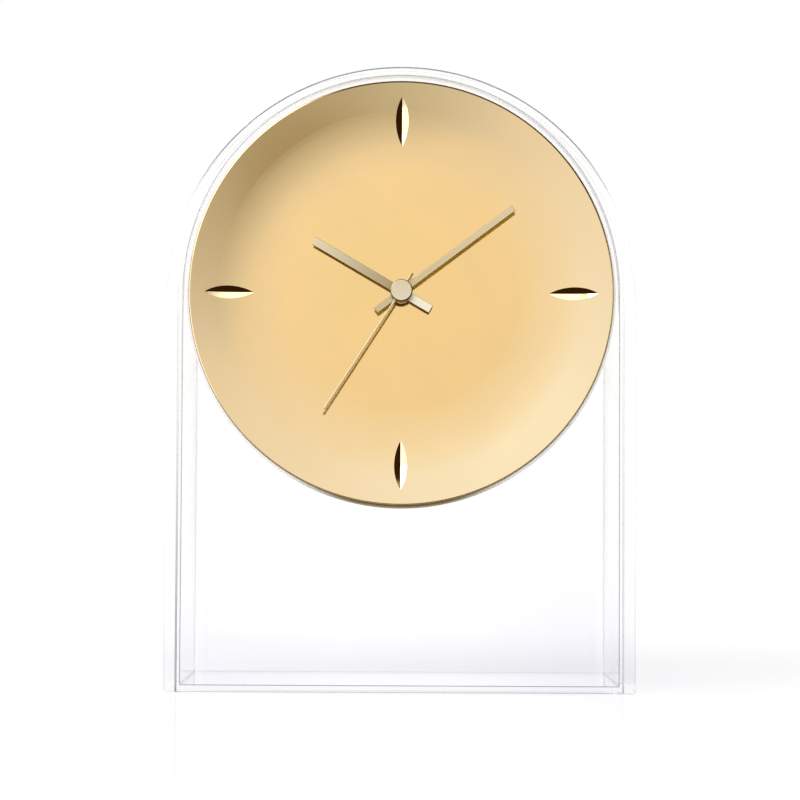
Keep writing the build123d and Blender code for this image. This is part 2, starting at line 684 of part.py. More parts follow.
def setting_knob():
    phase = mate_phase(motion_wheel_phase(), MOTION_TEETH, SETTING_TEETH, MOTION_DIR)
    knob_y = MV_BACK + KNOB_GAP
    shaft = disc(SETTING_R, MV_IN + END_PLAY, knob_y, SETTING)
    pivot = disc(PIVOT_R, MV_IN + END_PLAY - PIVOT_L, MOTION_Y, SETTING)
    knob = disc(KNOB_R, knob_y, knob_y + KNOB_T)
    knob -= around(disc(FLUTE_R, knob_y, knob_y + KNOB_T, (0, KNOB_R)), KNOB_FLUTES)
    knob = Pos(SETTING[0], 0, SETTING[1]) * knob
    return shaft + pivot + knob + pinion(SETTING_TEETH, MOTION_MODULE, phase, MOTION_Y, SETTING)


def stator():
    back = STATOR_Y + STATOR_T
    leg_top = COIL_Z + CORE_H / 2
    foot_bar = bar(CORE_X0, CORE_X1, STATOR_FOOT, STATOR_TOP, STATOR_Y, back)
    legs = [
        bar(CORE_X0, CORE_X0 + LEG_W, STATOR_FOOT, leg_top, STATOR_Y, back),
        bar(CORE_X1 - LEG_W, CORE_X1, STATOR_FOOT, leg_top, STATOR_Y, back),
    ]
    return foot_bar + legs - disc(HOLE_R, STATOR_Y, back, ROTOR)


def coil_block(x0, x1, half_height, half_thick):
    """Block along the coil axis."""
    low = COIL_Z - half_height
    high = COIL_Z + half_height
    return bar(x0, x1, low, high, COIL_Y - half_thick, COIL_Y + half_thick)


def coil_core():
    return coil_block(CORE_X0, CORE_X1, CORE_H / 2, STATOR_T / 2)


def coil_bobbin():
    bobbin = coil_block(BOBBIN_X0, BOBBIN_X1, TUBE_H, TUBE_T)
    for x0 in (BOBBIN_X0, BOBBIN_X1 - FLANGE_T):
        bobbin += coil_block(x0, x0 + FLANGE_T, COIL_H + FLANGE_OVER, COIL_T + FLANGE_OVER)
    return bobbin - coil_block(BOBBIN_X0, BOBBIN_X1, CORE_H / 2 + CORE_GAP, STATOR_T / 2 + CORE_GAP)


def coil_winding():
    x0 = BOBBIN_X0 + FLANGE_T
    x1 = BOBBIN_X1 - FLANGE_T
    return coil_block(x0, x1, COIL_H, COIL_T) - coil_block(x0, x1, TUBE_H, TUBE_T)


def circuit_board():
    return bar(BOARD_X0, BOARD_X1, BOARD_Z0, BOARD_Z1, BOARD_Y, BOARD_Y + BOARD_T)


def clock_chip():
    front = BOARD_Y + BOARD_T
    blob = disc(CHIP_R, front, front + CHIP_T, (BOARD_X, 0))
    return fillet(blob.edges().sort_by(Axis.Y)[-1], CHIP_ROUND)


def quartz_crystal():
    can = Cylinder(CRYSTAL_R, CRYSTAL_L)
    can = fillet(can.edges().filter_by(GeomType.CIRCLE), CRYSTAL_ROUND)
    above = BOARD_Z1 - 2 * POST_INSET - CRYSTAL_L
    return Pos(BOARD_X, BOARD_Y + BOARD_T + CRYSTAL_R, above) * can


def battery():
    can_l = BATT_L - NUB_L
    can = fillet(Cylinder(BATT_D / 2, can_l).edges().filter_by(GeomType.CIRCLE), BATT_ROUND)
    nub = Pos(0, 0, can_l / 2) * Cylinder(NUB_D / 2, 2 * NUB_L)
    lying = Rot(0, 90, 0) * (can + nub)
    return Pos(BATT_X1 - NUB_L - can_l / 2, BATT_Y, BATT_Z) * lying


def contact_plate(x0, x1):
    half = CONTACT_H / 2
    return bar(x0, x1, BATT_Z - half, BATT_Z + half, BATT_Y - half, BATT_Y + half)


def positive_contact():
    x0 = BAY_HALF - CONTACT_T
    tail = bar(x0, BAY_HALF, BATT_Z, BOARD_Z0 + CONTACT_H / 2, BOARD_Y, BOARD_Y + BOARD_T)
    return contact_plate(x0, BAY_HALF) + tail


def negative_contact():
    x0 = -BAY_HALF
    x1 = x0 + CONTACT_T
    tip_x = x0 + SPRING_L
    low = BATT_Z - CONTACT_H / 2
    high = BATT_Z + CONTACT_H / 2
    leaf = make_face(Polyline(
        (x0, low),
        (x1, low),
        (tip_x, BATT_Z),
        (x1, high),
        (x0, high),
        (x0, high - CONTACT_T),
        (tip_x - CONTACT_T, BATT_Z),
        (x0, low + CONTACT_T),
        close=True,
    ))
    spring = slab(leaf, BATT_Y - SPRING_H / 2, BATT_Y + SPRING_H / 2)
    strip_z0 = BAY_WALL_Z + BOARD_GAP
    strip_z1 = strip_z0 + CONTACT_T
    tail_back = BOARD_Y + BOARD_T
    rise = bar(x0, x1, BATT_Z, strip_z1, BOARD_Y, tail_back)
    run = bar(x0, BOARD_X, strip_z0, strip_z1, BOARD_Y, tail_back)
    return contact_plate(x0, x1) + spring + rise + run


def hand(length, tail, width, angle, middle, pipe_r):
    """Square-ended hand with a boss for its pipe, turned to its place."""
    blade = bar(-width / 2, width / 2, -tail, length, middle - HAND_T / 2, middle + HAND_T / 2)
    blade = fillet(blade.edges(), HAND_ROUND)
    front = middle - BOSS_T / 2
    back = middle + BOSS_T / 2
    blank = blade + disc(pipe_r + BOSS_WALL, front, back)
    return Rot(0, angle, 0) * (blank - disc(pipe_r + FIT, front, back))


def hour_hand():
    return hand(HOUR_L, HOUR_TAIL, HOUR_W, HOUR_ANGLE, HOUR_HAND_Y, HOUR_PIPE_R)


def minute_hand():
    return hand(MINUTE_L, MINUTE_TAIL, MINUTE_W, MINUTE_ANGLE, MINUTE_HAND_Y, MINUTE_PIPE_R)


def second_hand():
    return hand(SECOND_L, SECOND_TAIL, SECOND_W, SECOND_ANGLE, SECOND_HAND_Y, SECOND_ARBOR_R)


def hub_cap():
    cap = disc(CAP_D / 2, CAP_Y - CAP_T, CAP_Y)
    cap = fillet(cap.edges().sort_by(Axis.Y)[0], CAP_ROUND)
    return cap - disc(SECOND_ARBOR_R + FIT, CAP_Y - CAP_T + CAP_SKIN, CAP_Y)


# Pieces in the case frame, and pieces that are drawn around the dial axis
CASE_PIECES = (outer_arch, inner_case)
DIAL_PIECES = (
    dial_dish, movement_drum, dial_screws, case_screws,
    movement_front_shell, movement_rear_shell, threaded_bushing, hand_nut, nut_washer, rubber_washer,
    train_plate, rotor, intermediate_wheel, seconds_wheel, third_wheel, centre_wheel,
    minute_pipe, motion_wheel, hour_wheel, setting_knob,
    stator, coil_core, coil_bobbin, coil_winding, circuit_board, clock_chip, quartz_crystal,
    battery, positive_contact, negative_contact,
    hour_hand, minute_hand, second_hand, hub_cap,
)

os.makedirs("parts", exist_ok=True)
for make in CASE_PIECES:
    export_step(make(), f"parts/{make.__name__}.step")
for make in DIAL_PIECES:
    export_step(Pos(0, 0, DIAL_Z) * make(), f"parts/{make.__name__}.step")
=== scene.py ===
"""Arched table clock in clear acrylic: finishes, floor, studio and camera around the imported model."""

import bmesh
import bpy
import json
import math
from mathutils import Matrix, Vector


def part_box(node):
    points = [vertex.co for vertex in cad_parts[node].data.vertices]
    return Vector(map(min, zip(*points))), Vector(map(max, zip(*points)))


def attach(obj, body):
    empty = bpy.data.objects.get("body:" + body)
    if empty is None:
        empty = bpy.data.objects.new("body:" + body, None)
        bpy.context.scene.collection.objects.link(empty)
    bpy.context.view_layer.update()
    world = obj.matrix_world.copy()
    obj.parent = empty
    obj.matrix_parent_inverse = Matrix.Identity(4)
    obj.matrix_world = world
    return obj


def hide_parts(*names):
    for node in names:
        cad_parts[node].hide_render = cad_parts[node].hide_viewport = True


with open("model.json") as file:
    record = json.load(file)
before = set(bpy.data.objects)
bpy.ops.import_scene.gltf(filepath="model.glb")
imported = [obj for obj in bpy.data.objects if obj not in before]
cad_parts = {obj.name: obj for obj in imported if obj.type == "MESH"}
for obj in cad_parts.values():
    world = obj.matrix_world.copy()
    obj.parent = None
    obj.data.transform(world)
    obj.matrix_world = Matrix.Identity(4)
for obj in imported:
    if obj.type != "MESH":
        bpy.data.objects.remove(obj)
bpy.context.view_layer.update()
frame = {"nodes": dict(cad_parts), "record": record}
pieces = frame["nodes"]
scene = bpy.context.scene

DIAL_AXIS = (0.0, 0.0, 0.1914)
ARCH_LOW, ARCH_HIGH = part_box("outer_arch")
FRONT_Y = ARCH_LOW[1]
BACK_Y = ARCH_HIGH[1]
ARCH_HALF = ARCH_HIGH[0]
ARCH_SPRING = ARCH_HIGH[2] - ARCH_HALF
CASE_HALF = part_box("inner_case")[1][0]
# Thickness of the legs and of the case's walls, floor and rear wall
LEG_T = 0.00595
CASE_WALL = 0.002
CASE_FLOOR = 0.0036
CASE_REAR = 0.0025
# Radii of the dial: its shading, its lip, and the skirt from its front to its rear edge
DIAL_SHADE = 0.103
LIP = (0.1011, 0.1013)
SKIRT = (0.1019, 0.1039)
# Rounds of the clear pieces: front edges, joint of leg and case, rear edges, inside corner, feet
EDGE_ROUND = 0.0002
JOINT_ROUND = 0.00004
REAR_ROUND = 0.00015
CORNER_ROUND = 0.00006
FOOT_ROUND = 0.0015
# Well and screw holes in the rear wall, measured inward from the edge of the drum's flange
WELL_INSET = 0.011
SCREW_INSET = 0.0045
# Radii of a screw's head and shank, and depth of its countersink
SCREW_HEAD = 0.0029
SCREW_SHANK = 0.0015
SINK_DEPTH = 0.0018
# Distance between two turns of the coil's wire
WIRE_PITCH = 0.00022
# Reach of the hands' tones from the axis, in millimetres
TONE_FROM = -20.0
TONE_TO = 70.0
# Clockwise turn of each hand at rest, in degrees from twelve
HAND_TURNS = {"hour_hand": -59.8, "minute_hand": 53.0, "second_hand": 212.8, "hub_cap": 0.0}


# Small helpers for shader trees

def new_node(tree, kind, **inputs):
    node = tree.nodes.new(kind)
    for name, value in inputs.items():
        node.inputs[name.replace("_", " ")].default_value = value
    return node


def join(tree, start, end):
    tree.links.new(start, end)


def math_step(tree, operation, first, second=None, third=None):
    """Math node whose inputs are sockets or numbers."""
    node = tree.nodes.new("ShaderNodeMath")
    node.operation = operation
    for place, value in enumerate((first, second, third)):
        if value is None:
            continue
        if isinstance(value, (int, float)):
            node.inputs[place].default_value = value
        else:
            join(tree, value, node.inputs[place])
    return node.outputs[0]


def split(tree, vector):
    """X, Y and Z of a vector."""
    node = tree.nodes.new("ShaderNodeSeparateXYZ")
    join(tree, vector, node.inputs[0])
    return node.outputs["X"], node.outputs["Y"], node.outputs["Z"]


def spread(tree, value, low, high, to_low, to_high, smooth=False):
    """Map Range node from low..high to to_low..to_high."""
    node = tree.nodes.new("ShaderNodeMapRange")
    node.interpolation_type = "SMOOTHSTEP" if smooth else "LINEAR"
    join(tree, value, node.inputs["Value"])
    node.inputs["From Min"].default_value = low
    node.inputs["From Max"].default_value = high
    node.inputs["To Min"].default_value = to_low
    node.inputs["To Max"].default_value = to_high
    return node.outputs["Result"]


def blend(tree, amount, first, second):
    """Colour mix of two sockets or colours."""
    node = tree.nodes.new("ShaderNodeMix")
    node.data_type = "RGBA"
    for place, value in ((0, amount), (6, first), (7, second)):
        if isinstance(value, (int, float)):
            node.inputs[place].default_value = value
        elif isinstance(value, (tuple, list)):
            node.inputs[place].default_value = (*value, 1.0)
        else:
            join(tree, value, node.inputs[place])
    return node.outputs[2]


def ramp(tree, value, stops, ease="LINEAR"):
    """Colour ramp over (position, colour) stops."""
    node = tree.nodes.new("ShaderNodeValToRGB")
    node.color_ramp.interpolation = ease
    band = node.color_ramp.elements
    while len(band) < len(stops):
        band.new(0.5)
    for step, (place, colour) in zip(band, stops):
        step.position = place
        step.color = (*colour, 1.0)
    join(tree, value, node.inputs["Fac"])
    return node.outputs["Color"]


# Shared effects

def new_group(name, inputs, outputs):
    tree = bpy.data.node_groups.new(name, "ShaderNodeTree")
    for label, kind, start in inputs:
        socket = tree.interface.new_socket(label, in_out="INPUT", socket_type=kind)
        if start is not None:
            socket.default_value = start
    for label, kind in outputs:
        tree.interface.new_socket(label, in_out="OUTPUT", socket_type=kind)
    return tree, tree.nodes.new("NodeGroupInput"), tree.nodes.new("NodeGroupOutput")


def place_group(tree, group, vector, **inputs):
    """Group node in a tree, at the given coordinates and with its own values."""
    node = tree.nodes.new("ShaderNodeGroup")
    node.node_tree = group
    join(tree, vector, node.inputs["Vector"])
    for name, value in inputs.items():
        node.inputs[name].default_value = value
    return node


def make_soft_clouds():
    """Slow, soft unevenness of a finish: film thickness, handling, moulding flow."""
    tree, given, put = new_group("soft_clouds", [
        ("Vector", "NodeSocketVector", None),
        ("Scale", "NodeSocketFloat", 20.0),
        ("Contrast", "NodeSocketFloat", 1.0),
    ], [("Mask", "NodeSocketFloat")])
    wide = new_node(tree, "ShaderNodeTexNoise", Detail=3.0, Roughness=0.45, Distortion=0.4)
    join(tree, given.outputs["Vector"], wide.inputs["Vector"])
    join(tree, given.outputs["Scale"], wide.inputs["Scale"])
    centred = math_step(tree, "SUBTRACT", wide.outputs["Fac"], 0.5)
    strong = math_step(tree, "MULTIPLY", centred, given.outputs["Contrast"])
    level = math_step(tree, "ADD", strong, 0.5)
    clamp = tree.nodes.new("ShaderNodeClamp")
    join(tree, level, clamp.inputs["Value"])
    join(tree, clamp.outputs[0], put.inputs["Mask"])
    return tree


def make_fine_grain():
    """Fine grain that is stretched along one axis: brushing on metal, spark texture on plastic."""
    tree, given, put = new_group("fine_grain", [
        ("Vector", "NodeSocketVector", None),
        ("Scale", "NodeSocketFloat", 2000.0),
        ("Stretch", "NodeSocketVector", (1, 1, 1)),
    ], [("Mask", "NodeSocketFloat"), ("Height", "NodeSocketFloat")])
    drawn = tree.nodes.new("ShaderNodeVectorMath")
    drawn.operation = "MULTIPLY"
    join(tree, given.outputs["Vector"], drawn.inputs[0])
    join(tree, given.outputs["Stretch"], drawn.inputs[1])
    grain = new_node(tree, "ShaderNodeTexNoise", Detail=4.0, Roughness=0.6)
    join(tree, drawn.outputs[0], grain.inputs["Vector"])
    join(tree, given.outputs["Scale"], grain.inputs["Scale"])
    mask = spread(tree, grain.outputs["Fac"], 0.3, 0.7, 0.0, 1.0)
    join(tree, mask, put.inputs["Mask"])
    join(tree, grain.outputs["Fac"], put.inputs["Height"])
    return tree


def make_arch_reach():
    """Distance from the middle of an upright arch whose round top starts at the height Spring."""
    tree, given, put = new_group("arch_reach", [
        ("Vector", "NodeSocketVector", None),
        ("Spring", "NodeSocketFloat", 0.19),
    ], [("Distance", "NodeSocketFloat")])
    x, _, z = split(tree, given.outputs["Vector"])
    rise = math_step(tree, "MAXIMUM", math_step(tree, "SUBTRACT", z, given.outputs["Spring"]), 0.0)
    square_x = math_step(tree, "MULTIPLY", x, x)
    square_rise = math_step(tree, "MULTIPLY", rise, rise)
    distance = math_step(tree, "SQRT", math_step(tree, "ADD", square_x, square_rise))
    join(tree, distance, put.inputs["Distance"])
    return tree


def make_foot_shade():
    """Painted shade in clear acrylic towards its foot, a cool tint that stands for the table's shade seen
    through the case: more at the sides and most at the right.
    """
    tree, given, put = new_group("foot_shade", [
        ("Vector", "NodeSocketVector", None),
    ], [("Mask", "NodeSocketFloat")])
    x, _, z = split(tree, given.outputs["Vector"])
    low = spread(tree, z, 0.0, 0.075, 1.0, 0.0, True)
    aside = math_step(tree, "ABSOLUTE", x)
    outward = spread(tree, aside, 0.02, 0.1, 0.35, 1.0, True)
    wall = spread(tree, aside, 0.1, 0.104, 1.0, 0.45)
    lean = math_step(tree, "MULTIPLY", spread(tree, x, -0.1, 0.1, 0.62, 1.0), wall)
    mask = math_step(tree, "MULTIPLY", math_step(tree, "MULTIPLY", low, outward), lean)
    join(tree, mask, put.inputs["Mask"])
    return tree


def make_front_edge():
    """Thin layer behind the front plane, where the painted dark lines of the polished edges are laid."""
    tree, given, put = new_group("front_edge", [
        ("Vector", "NodeSocketVector", None),
    ], [("Mask", "NodeSocketFloat")])
    y = split(tree, given.outputs["Vector"])[1]
    join(tree, spread(tree, y, FRONT_Y + 0.0004, FRONT_Y + 0.0007, 1.0, 0.0), put.inputs["Mask"])
    return tree


def make_leg_line():
    """How strongly the painted dark line at the joint between leg and case shows: dark at the foot, gone on
    the round.
    """
    tree, given, put = new_group("leg_line", [
        ("Vector", "NodeSocketVector", None),
    ], [("Mask", "NodeSocketFloat")])
    x, _, z = split(tree, given.outputs["Vector"])
    low = spread(tree, z, 0.03, 0.215, 1.0, 0.0, True)
    side = spread(tree, x, -0.02, 0.02, 1.0, 0.6)
    join(tree, math_step(tree, "MULTIPLY", low, side), put.inputs["Mask"])
    return tree


def make_facing():
    """How squarely a face looks along the dial axis, and whether it looks to the rear."""
    tree, given, put = new_group("facing", [
        ("Vector", "NodeSocketVector", None),
    ], [("Square", "NodeSocketFloat"), ("Rear", "NodeSocketFloat")])
    y = split(tree, given.outputs["Vector"])[1]
    join(tree, math_step(tree, "ABSOLUTE", y), put.inputs["Square"])
    join(tree, spread(tree, y, 0.3, 0.8, 0.0, 1.0), put.inputs["Rear"])
    return tree


def make_finish_tone():
    """Tone of a worked surface: soft clouds with a share of fine grain."""
    tree, given, put = new_group("finish_tone", [
        ("Vector", "NodeSocketVector", None),
        ("Scale", "NodeSocketFloat", 2000.0),
        ("Stretch", "NodeSocketVector", (1, 1, 1)),
        ("Grain", "NodeSocketFloat", 0.4),
    ], [("Mask", "NodeSocketFloat"), ("Height", "NodeSocketFloat")])
    film = place_group(tree, soft_clouds, given.outputs["Vector"], Scale=60.0, Contrast=1.6)
    grain = place_group(tree, fine_grain, given.outputs["Vector"])
    join(tree, given.outputs["Scale"], grain.inputs["Scale"])
    join(tree, given.outputs["Stretch"], grain.inputs["Stretch"])
    apart = math_step(tree, "SUBTRACT", grain.outputs["Mask"], film.outputs["Mask"])
    tone = math_step(tree, "MULTIPLY_ADD", apart, given.outputs["Grain"], film.outputs["Mask"])
    join(tree, tone, put.inputs["Mask"])
    join(tree, grain.outputs["Height"], put.inputs["Height"])
    return tree


soft_clouds = make_soft_clouds()
fine_grain = make_fine_grain()
arch_reach = make_arch_reach()
foot_shade = make_foot_shade()
front_edge = make_front_edge()
leg_line = make_leg_line()
facing = make_facing()
finish_tone = make_finish_tone()


def new_material(name):
    material = bpy.data.materials.new(name)
    material.use_nodes = True
    tree = material.node_tree
    surface = tree.nodes["Principled BSDF"]
    own = tree.nodes.new("ShaderNodeTexCoord").outputs["Object"]
    return material, tree, surface, own


def add_bump(tree, surface, height, distance, strength):
    bump = new_node(tree, "ShaderNodeBump", Strength=strength, Distance=distance)
    join(tree, height, bump.inputs["Height"])
    join(tree, bump.outputs["Normal"], surface.inputs["Normal"])


# Finishes

def arch_lines(tree, own):
    """Painted dark lines on the edges of the outer arch, standing for the dark surroundings seen in its
    polished edges: crown, feet, and legs where they meet the case.
    """
    z = split(tree, own)[2]
    outer = place_group(tree, arch_reach, own, Spring=ARCH_SPRING).outputs["Distance"]
    rim = spread(tree, outer, ARCH_HALF - 0.0008, ARCH_HALF - 0.0006, 0.0, 1.0)
    crown = spread(tree, z, 0.228, 0.262, 0.04, 1.0, True)
    shin = spread(tree, z, 0.02, 0.1, 0.22, 0.0, True)
    edge = math_step(tree, "MULTIPLY", rim, math_step(tree, "MAXIMUM", crown, shin))
    inner = place_group(tree, arch_reach, own, Spring=DIAL_AXIS[2]).outputs["Distance"]
    inside = spread(tree, inner, ARCH_HALF - LEG_T + 0.0003, ARCH_HALF - LEG_T + 0.0005, 1.0, 0.0)
    joint = math_step(tree, "MULTIPLY", inside, place_group(tree, leg_line, own).outputs["Mask"])
    foot = spread(tree, z, 0.0003, 0.0006, 0.3, 0.0)
    return math_step(tree, "MAXIMUM", math_step(tree, "MAXIMUM", edge, joint), foot)


def case_lines(tree, own):
    """Painted dark lines on the edges of the inner case, standing for the dark surroundings seen in its
    polished edges: opening, foot, and walls where they meet the legs.
    """
    z = split(tree, own)[2]
    wall = place_group(tree, arch_reach, own, Spring=DIAL_AXIS[2]).outputs["Distance"]
    from_wall = math_step(tree, "SUBTRACT", wall, CASE_HALF - CASE_WALL)
    from_floor = math_step(tree, "SUBTRACT", CASE_FLOOR, z)
    rim = spread(tree, math_step(tree, "MAXIMUM", from_wall, from_floor), 0.0003, 0.0005, 1.0, 0.0)
    opening = math_step(tree, "MULTIPLY", rim, spread(tree, z, 0.02, 0.24, 0.95, 0.75, True))
    outside = spread(tree, wall, CASE_HALF - 0.0005, CASE_HALF - 0.0003, 0.0, 1.0)
    joint = math_step(tree, "MULTIPLY", outside, place_group(tree, leg_line, own).outputs["Mask"])
    band = spread(tree, z, CASE_FLOOR - 0.0003, CASE_FLOOR - 0.0001, 0.05, 0.0)
    foot = math_step(tree, "MAXIMUM", spread(tree, z, 0.0003, 0.0006, 0.6, 0.0), band)
    return math_step(tree, "MAXIMUM", opening, math_step(tree, "MAXIMUM", joint, foot))


def acrylic_finish(name, haze, foot_shade_tint, edge_line_shade):
    """Clear polished acrylic with a painted cool shade towards its foot, and painted dark lines on its
    front edges that stand for the dark surroundings seen in its polished edges.
    """
    material, tree, surface, own = new_material(name)
    surface.inputs["Transmission Weight"].default_value = 1.0
    surface.inputs["IOR"].default_value = 1.49
    film = place_group(tree, soft_clouds, own, Scale=14.0, Contrast=1.8)
    join(tree, spread(tree, film.outputs["Mask"], 0.2, 0.9, 0.0, haze), surface.inputs["Roughness"])
    # Painted shade: a cool tint towards the foot, for the table's shade seen through the acrylic
    depth = place_group(tree, foot_shade, own).outputs["Mask"]
    uneven = math_step(tree, "MULTIPLY", depth, spread(tree, film.outputs["Mask"], 0.0, 1.0, 0.7, 1.0))
    body = blend(tree, uneven, (0.998, 0.998, 1.0), foot_shade_tint)
    front = place_group(tree, front_edge, own).outputs["Mask"]
    # Painted shade: dark grey lines on the front edges, for the dark surroundings seen in the polished
    # edges
    line = math_step(tree, "MULTIPLY", edge_line_shade(tree, own), front)
    join(tree, blend(tree, line, body, (0.10, 0.10, 0.105)), surface.inputs["Base Color"])
    clear = new_node(tree, "ShaderNodeBsdfTransparent", Color=(0.80, 0.80, 0.83, 1.0))
    path = tree.nodes.new("ShaderNodeLightPath")
    mix = tree.nodes.new("ShaderNodeMixShader")
    join(tree, path.outputs["Is Shadow Ray"], mix.inputs[0])
    join(tree, surface.outputs[0], mix.inputs[1])
    join(tree, clear.outputs[0], mix.inputs[2])
    join(tree, mix.outputs[0], tree.nodes["Material Output"].inputs["Surface"])
    return material


def from_axis(tree, own):
    """Way and distance of a point from the dial axis, and its lean to the upper left and the top."""
    apart = tree.nodes.new("ShaderNodeVectorMath")
    apart.operation = "SUBTRACT"
    join(tree, own, apart.inputs[0])
    apart.inputs[1].default_value = DIAL_AXIS
    x, _, z = split(tree, apart.outputs[0])
    square_x = math_step(tree, "MULTIPLY", x, x)
    square_z = math_step(tree, "MULTIPLY", z, z)
    radius = math_step(tree, "SQRT", math_step(tree, "ADD", square_x, square_z))
    left = math_step(tree, "MULTIPLY", x, -0.88)
    upper_left = math_step(tree, "MULTIPLY_ADD", z, 0.47, left)
    to_left = math_step(tree, "DIVIDE", upper_left, radius)
    return apart.outputs[0], radius, to_left, math_step(tree, "DIVIDE", z, radius)


def dial_gold():
    """Metallised dial: deep gold in the middle, paler at the rim, a lip darkened as painted shade except at
    the upper left, and a skirt with painted shade and light: dark and wide at top and bottom, thin and
    turning pale at the sides.
    """
    material, tree, surface, own = new_material("dial_gold")
    surface.inputs["Specular Tint"].default_value = (0.40, 0.34, 0.24, 1.0)
    way, radius, upper_left, upper = from_axis(tree, own)
    shade = ramp(tree, spread(tree, radius, 0.0, DIAL_SHADE, 0.0, 1.0), [
        (0.0, (0.93, 0.64, 0.27)),
        (0.5, (0.925, 0.64, 0.285)),
        (0.72, (0.895, 0.65, 0.34)),
        (0.9, (0.86, 0.655, 0.385)),
        (1.0, (0.86, 0.655, 0.385)),
    ], "EASE")
    film = place_group(tree, soft_clouds, own, Scale=26.0, Contrast=1.6)
    deep = blend(tree, 0.5, shade, (0.90, 0.60, 0.25))
    veil = place_group(tree, soft_clouds, own, Scale=48.0, Contrast=2.4)
    filmed = blend(tree, math_step(tree, "MULTIPLY", film.outputs["Mask"], 0.25), shade, deep)
    patch = math_step(tree, "MULTIPLY", veil.outputs["Mask"], 0.12)
    colour = blend(tree, patch, filmed, (0.72, 0.53, 0.27))
    normal = tree.nodes.new("ShaderNodeNewGeometry").outputs["Normal"]
    look = place_group(tree, facing, normal)
    outward = tree.nodes.new("ShaderNodeVectorMath")
    outward.operation = "DOT_PRODUCT"
    join(tree, normal, outward.inputs[0])
    join(tree, way, outward.inputs[1])
    outside = spread(tree, outward.outputs["Value"], 0.0, 0.03, 0.0, 1.0)
    skirt = math_step(tree, "MULTIPLY", outside, spread(tree, look.outputs["Square"], 0.3, 0.5, 1.0, 0.0))
    flare = spread(tree, radius, *SKIRT, 0.0, 1.0)
    # Painted shade and light on the skirt: a wide dark band at top and bottom, a thin dark line turning
    # pale at the sides
    broad_skirt_shade = ramp(tree, flare, [
        (0.0, (0.09, 0.062, 0.03)),
        (0.35, (0.15, 0.115, 0.07)),
        (0.7, (0.70, 0.63, 0.51)),
        (1.0, (0.90, 0.84, 0.71)),
    ])
    slim_skirt_shade = ramp(tree, flare, [
        (0.0, (0.06, 0.042, 0.022)),
        (0.14, (0.10, 0.075, 0.045)),
        (0.3, (0.92, 0.87, 0.76)),
        (1.0, (0.95, 0.91, 0.81)),
    ])
    aside = math_step(tree, "ABSOLUTE", split(tree, own)[0])
    beside = spread(tree, aside, 0.02, 0.06, 0.0, 1.0, True)
    flank_shade = blend(tree, beside, broad_skirt_shade, slim_skirt_shade)
    # The pale sides of the skirt are made non-metallic, so that their pale painted colour reads as light on
    # them
    bare = math_step(tree, "MULTIPLY", beside, spread(tree, flare, 0.14, 0.3, 0.0, 1.0))
    coated = math_step(tree, "SUBTRACT", 1.0, math_step(tree, "MULTIPLY", skirt, bare))
    join(tree, coated, surface.inputs["Metallic"])
    # Painted shade: the lip is darkened on its upper half, but not at the upper left, where it stays lit
    outermost = spread(tree, radius, *LIP, 0.0, 1.0)
    shaded = math_step(tree, "MULTIPLY", spread(tree, upper_left, 0.70, 0.86, 1.0, 0.0),
                       spread(tree, upper, -0.1, 0.5, 0.0, 1.0, True))
    lip = blend(tree, math_step(tree, "MULTIPLY", outermost, shaded), colour, (0.08, 0.05, 0.012))
    join(tree, blend(tree, skirt, lip, flank_shade), surface.inputs["Base Color"])
    grain = place_group(tree, fine_grain, own, Scale=900.0)
    rough = math_step(tree, "ADD", spread(tree, film.outputs["Mask"], 0.0, 1.0, 0.05, 0.09),
                      spread(tree, grain.outputs["Mask"], 0.0, 1.0, -0.01, 0.01))
    join(tree, rough, surface.inputs["Roughness"])
    add_bump(tree, surface, grain.outputs["Height"], 0.00002, 0.15)
    return material


def hand_finish(name, turn, tones, back, flank_shade, bevel_shade):
    """Satin champagne hand, brushed along its length: tones from tail to tip, and tones of back, sides and
    bevels, which are dark as painted shade.
    """
    material, tree, surface, own = new_material(name)
    surface.inputs["Metallic"].default_value = 1.0
    lie = tree.nodes.new("ShaderNodeMapping")
    lie.vector_type = "TEXTURE"
    lie.inputs["Location"].default_value = DIAL_AXIS
    lie.inputs["Rotation"].default_value = (0.0, math.radians(turn), 0.0)
    join(tree, own, lie.inputs["Vector"])
    length = split(tree, lie.outputs[0])[2]
    reach = spread(tree, length, TONE_FROM / 1000.0, TONE_TO / 1000.0, 0.0, 1.0)
    span = TONE_TO - TONE_FROM
    front = ramp(tree, reach, [((place - TONE_FROM) / span, tone) for place, tone in tones])
    along = (1.0, 1.0, 0.06)
    worked = place_group(tree, finish_tone, lie.outputs[0], Scale=1500.0, Stretch=along, Grain=0.25)
    tone = worked.outputs["Mask"]
    brushed = blend(tree, math_step(tree, "MULTIPLY", tone, 0.25), front, (0.50, 0.40, 0.24))
    look = place_group(tree, facing, tree.nodes.new("ShaderNodeNewGeometry").outputs["Normal"])
    # Painted shade: dark tones on the back faces, sides and bevels of the hand
    faces = blend(tree, look.outputs["Rear"], brushed, back)
    side = spread(tree, look.outputs["Square"], 0.96, 0.995, 1.0, 0.0)
    edge = spread(tree, look.outputs["Square"], 0.3, 0.6, 0.0, 1.0)
    turned = blend(tree, edge, flank_shade, bevel_shade)
    join(tree, blend(tree, side, faces, turned), surface.inputs["Base Color"])
    join(tree, spread(tree, tone, 0.0, 1.0, 0.22, 0.32), surface.inputs["Roughness"])
    add_bump(tree, surface, worked.outputs["Height"], 0.000002, 0.2)
    return material


